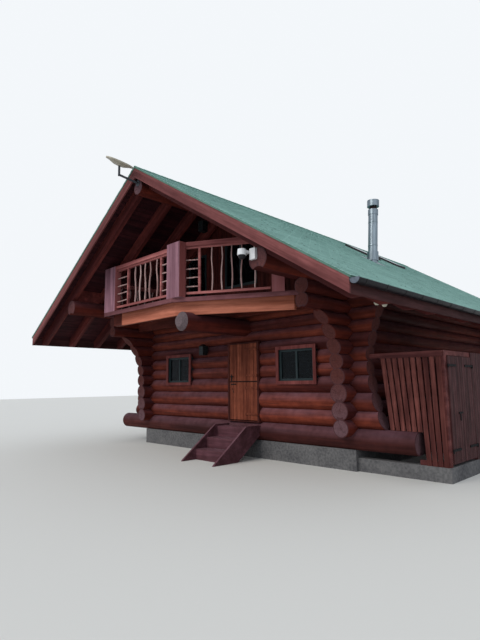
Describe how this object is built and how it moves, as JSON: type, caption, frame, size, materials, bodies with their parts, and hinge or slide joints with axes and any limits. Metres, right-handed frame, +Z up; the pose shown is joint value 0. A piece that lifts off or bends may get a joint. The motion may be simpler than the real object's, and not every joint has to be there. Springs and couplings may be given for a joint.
{
  "type": "log cabin",
  "caption": "Round-log cabin with flared corners, a gabled overhanging roof, a railed balcony under the gable, a stable door and a fenced side store",
  "frame": {"origin": "on the ground, under the ridge, half way along the whole length with the aerial", "axes": "+X to the right along the front gable, +Y back along the ridge, +Z up"},
  "size_m": [11.2403, 14.1964, 6.8775],
  "materials": {
    "concrete": "rough cast concrete",
    "log_wood": "stained round logs with pale checked ends",
    "beam_wood": "stained heavy timber",
    "roof_timber": "stained sawn timber",
    "board_wood": "stained boards",
    "gable_wood": "stained upright boards",
    "trim_wood": "stained trim boards",
    "rail_wood": "stained rails and peeled sticks",
    "door_wood": "stained door boards with black ironwork",
    "dark_frame": "dark painted window frames",
    "store_wood": "weathered fence boards",
    "roof_shingles": "green gritty felt shingles",
    "flue_steel": "stainless pipe",
    "black_metal": "black paint",
    "light_metal": "pale grey paint",
    "white_plastic": "white plastic",
    "clear_glass": "clear glass"
  },
  "bodies": {
    "cabin": {"antenna_arm": "light_metal", "antenna_dish": "light_metal", "back_gable_wall": "gable_wood", "back_wall": "log_wood", "balcony_door": "dark_frame", "balcony_edge_boards": "trim_wood", "balcony_floor": "board_wood", "balcony_posts": "trim_wood", "balcony_rails": "rail_wood", "balcony_rim_boards": "board_wood", "balcony_sticks": "rail_wood", "balcony_timbers": "beam_wood", "barge_boards_back": "trim_wood", "barge_boards_front": "trim_wood", "centre_beam": "log_wood", "dome_camera": "white_plastic", "door_frame": "door_wood", "eave_blocking": "roof_timber", "eave_fascias": "trim_wood", "eave_lamp": "white_plastic", "flue": "flue_steel", "foundation": "concrete", "front_gable_wall": "gable_wood", "front_wall_left": "log_wood", "front_wall_over_door": "log_wood", "front_wall_right": "log_wood", "gable_glass": "clear_glass", "ground_floor": "board_wood", "gutter": "black_metal", "lanterns": "black_metal", "left_side_wall": "log_wood", "loft_floor": "board_wood", "loft_window": "dark_frame", "rafters_left": "roof_timber", "rafters_right": "roof_timber", "ridge_cap": "roof_shingles", "ridge_log": "log_wood", "right_side_wall": "log_wood", "roof_boards_left": "roof_timber", "roof_boards_right": "roof_timber", "roof_cover_left": "roof_shingles", "roof_cover_right": "roof_shingles", "sill_logs": "log_wood", "skylight_curbs": "black_metal", "skylight_glass": "clear_glass", "step_stringers": "trim_wood", "step_treads": "board_wood", "store_frame": "store_wood", "store_front_slats": "store_wood", "store_kerb": "concrete", "store_rear_boards": "store_wood", "store_side_boards": "store_wood", "window_frames": "dark_frame", "window_glass": "clear_glass", "window_trims": "trim_wood"},
    "door_upper": {"door_upper": "door_wood"},
    "door_lower": {"door_lower": "door_wood"},
    "gate_left": {"gate_left": "store_wood"},
    "gate_right": {"gate_right": "store_wood"}
  },
  "joints": [
    {"name": "door_upper_hinge", "type": "hinge", "parent": "cabin", "child": "door_upper", "pos_m": [1.084, -3.5293, 2.3], "axis": [0, 0, 1], "range_deg": [0, 105]},
    {"name": "door_lower_hinge", "type": "hinge", "parent": "cabin", "child": "door_lower", "pos_m": [1.084, -3.5293, 1.35], "axis": [0, 0, 1], "range_deg": [0, 105]},
    {"name": "gate_left_hinge", "type": "hinge", "parent": "cabin", "child": "gate_left", "pos_m": [5.5743, -3.27, 1.3], "axis": [0, 0, 1], "range_deg": [-110, 0]},
    {"name": "gate_right_hinge", "type": "hinge", "parent": "cabin", "child": "gate_right", "pos_m": [5.5743, -2.066, 1.3], "axis": [0, 0, 1], "range_deg": [0, 110]}
  ]
}
